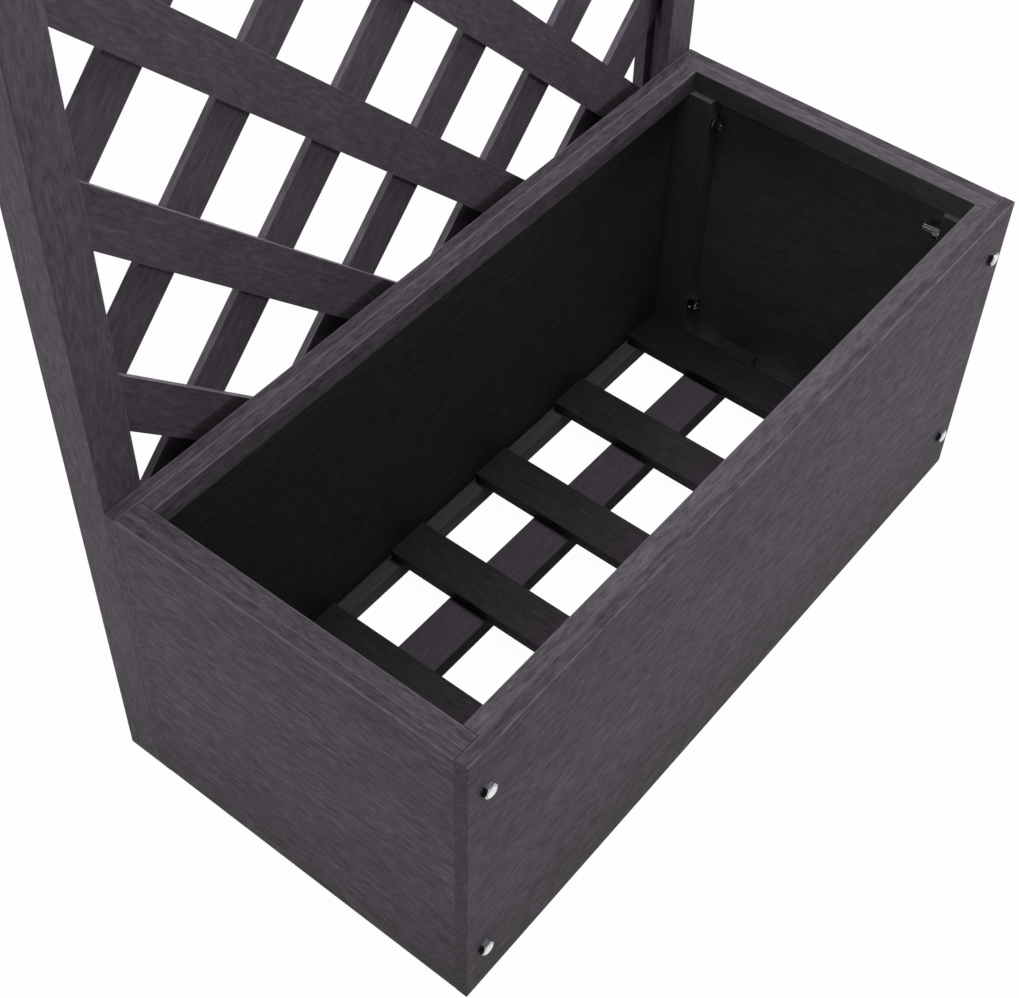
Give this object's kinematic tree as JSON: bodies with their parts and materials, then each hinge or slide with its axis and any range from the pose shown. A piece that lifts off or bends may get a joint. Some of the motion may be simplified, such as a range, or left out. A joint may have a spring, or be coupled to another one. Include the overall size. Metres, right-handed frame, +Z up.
{
  "type": "planter with trellis",
  "caption": "Rectangular wooden planter box with a slatted floor and bolted corners, and a diagonal lattice in an upright grooved frame behind it.",
  "frame": {"origin": "on the ground under the middle of the object's bounding box", "axes": "+Z up, X along the planter's length, -Y towards the front, with the trellis at +Y"},
  "size_m": [0.6, 0.315, 1.2046],
  "materials": {
    "board_wood": "matt dark stain with visible grain",
    "lattice_wood": "matt dark stain with mottled grain",
    "floor_wood": "matt dark stain with visible grain",
    "zinc": "bright zinc plate"
  },
  "bodies": {
    "root": {"front_bolts": "zinc", "rear_bolts": "zinc", "bolt_washers": "zinc", "bolt_nuts": "zinc", "board_pins": "zinc", "rim_pins": "zinc", "bearer_pins": "zinc", "floor_slat_pins": "zinc", "trellis_rail_pins": "zinc", "lattice_pins": "zinc", "front_board": "board_wood", "back_board": "board_wood", "left_board": "board_wood", "right_board": "board_wood", "front_rim_batten": "board_wood", "back_rim_batten": "board_wood", "left_rim_batten": "board_wood", "right_rim_batten": "board_wood", "front_left_corner_post": "board_wood", "front_right_corner_post": "board_wood", "back_left_corner_post": "board_wood", "back_right_corner_post": "board_wood", "front_floor_bearer": "floor_wood", "back_floor_bearer": "floor_wood", "front_middle_floor_bearer": "floor_wood", "rear_middle_floor_bearer": "floor_wood", "floor_slat_1": "floor_wood", "floor_slat_2": "floor_wood", "floor_slat_3": "floor_wood", "floor_slat_4": "floor_wood", "floor_slat_5": "floor_wood", "floor_slat_6": "floor_wood", "left_trellis_post": "board_wood", "right_trellis_post": "board_wood", "bottom_trellis_rail": "board_wood", "top_trellis_rail": "board_wood", "lattice_front_slat_01": "lattice_wood", "lattice_front_slat_02": "lattice_wood", "lattice_front_slat_03": "lattice_wood", "lattice_front_slat_04": "lattice_wood", "lattice_front_slat_05": "lattice_wood", "lattice_front_slat_06": "lattice_wood", "lattice_front_slat_07": "lattice_wood", "lattice_front_slat_08": "lattice_wood", "lattice_front_slat_09": "lattice_wood", "lattice_front_slat_10": "lattice_wood", "lattice_rear_slat_01": "lattice_wood", "lattice_rear_slat_02": "lattice_wood", "lattice_rear_slat_03": "lattice_wood", "lattice_rear_slat_04": "lattice_wood", "lattice_rear_slat_05": "lattice_wood", "lattice_rear_slat_06": "lattice_wood", "lattice_rear_slat_07": "lattice_wood", "lattice_rear_slat_08": "lattice_wood", "lattice_rear_slat_09": "lattice_wood", "lattice_rear_slat_10": "lattice_wood"}
  },
  "joints": []
}
